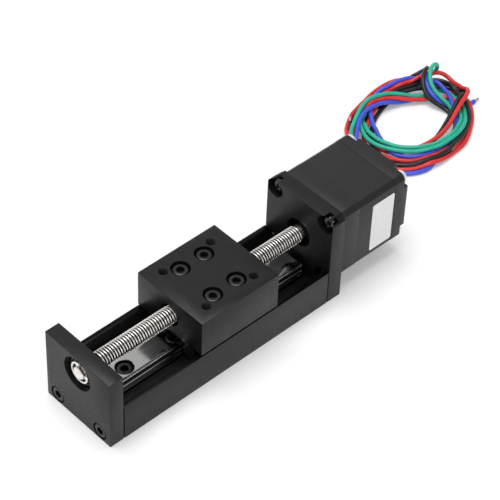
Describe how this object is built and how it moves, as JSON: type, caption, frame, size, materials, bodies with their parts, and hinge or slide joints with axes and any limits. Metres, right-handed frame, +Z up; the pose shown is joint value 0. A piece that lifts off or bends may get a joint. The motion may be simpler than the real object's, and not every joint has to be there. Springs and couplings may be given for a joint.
{
  "type": "motorised linear stage",
  "caption": "Miniature single-axis linear stage: a stepper motor turns a fine-pitch lead screw that drives a carriage on a profile rail inside a channel base.",
  "frame": {"origin": "middle of the base channel's underside, the face the stage is bolted down by", "axes": "+Y along the travel from the free end towards the motor, +Z up out of the carriage top, +X to the right seen from the free end"},
  "size_m": [0.0616, 0.2045, 0.0358],
  "materials": {
    "black_anodised": "matte black anodised",
    "bright_steel": "bright ground steel",
    "black_oxide": "black oxide",
    "block_steel": "ground steel",
    "end_cap_plastic": "black moulded plastic",
    "nut_bronze": "turned bronze",
    "shield_steel": "pressed shield",
    "motor_black": "black painted casting",
    "stator_black": "black painted laminations",
    "rotor_steel": "bare magnet steel",
    "grommet_plastic": "black plastic",
    "insulation_blue": "smooth blue insulation",
    "insulation_green": "smooth green insulation",
    "insulation_red": "smooth red insulation",
    "insulation_black": "smooth black insulation",
    "coil_insulation": "coiled leads of four colours"
  },
  "bodies": {
    "stage": {"base_channel": "black_anodised", "free_end_plate": "black_anodised", "motor_plate": "black_anodised", "guide_rail": "bright_steel", "bearing_outer_ring": "bright_steel", "motor_front_bearing": "bright_steel", "motor_rear_bearing": "bright_steel", "motor_mount_screw_1": "bright_steel", "motor_mount_screw_2": "bright_steel", "motor_mount_screw_3": "bright_steel", "motor_mount_screw_4": "bright_steel", "motor_tie_screw_1": "bright_steel", "motor_tie_screw_2": "bright_steel", "motor_tie_screw_3": "bright_steel", "motor_tie_screw_4": "bright_steel", "rail_screw_1": "black_oxide", "rail_screw_2": "black_oxide", "rail_screw_3": "black_oxide", "rail_screw_4": "black_oxide", "end_plate_screw_1": "black_oxide", "end_plate_screw_2": "black_oxide", "motor_plate_screw_1": "black_oxide", "motor_plate_screw_2": "black_oxide", "bearing_shield_1": "shield_steel", "bearing_shield_2": "shield_steel", "motor_front_bell": "motor_black", "motor_rear_bell": "motor_black", "motor_stator": "stator_black", "lead_grommet": "grommet_plastic", "lead_blue": "insulation_blue", "lead_green": "insulation_green", "lead_red": "insulation_red", "lead_black": "insulation_black", "lead_coil": "coil_insulation"},
    "carriage": {"carriage": "black_anodised", "carriage_screw_1": "black_oxide", "carriage_screw_2": "black_oxide", "carriage_screw_3": "black_oxide", "carriage_screw_4": "black_oxide", "rail_block": "block_steel", "rail_block_front_cap": "end_cap_plastic", "rail_block_rear_cap": "end_cap_plastic", "rail_block_front_cap_screw_1": "bright_steel", "rail_block_front_cap_screw_2": "bright_steel", "rail_block_rear_cap_screw_1": "bright_steel", "rail_block_rear_cap_screw_2": "bright_steel", "lead_nut": "nut_bronze"},
    "screw": {"lead_screw": "bright_steel", "bearing_inner_ring": "bright_steel", "retaining_clip": "bright_steel", "motor_rotor": "rotor_steel"}
  },
  "joints": [
    {"name": "carriage_slide", "type": "slide", "parent": "stage", "child": "carriage", "axis": [0, 1, 0], "range_m": [-0.029, 0.021]},
    {"name": "screw_turn", "type": "hinge", "parent": "stage", "child": "screw", "pos_m": [0, 0, 0.021], "axis": [0, -1, 0], "range_deg": [-10441, 7561]}
  ],
  "couplings": [
    {"joint": "screw_turn", "follows": "carriage_slide", "rad_per_m": 6283.2}
  ]
}
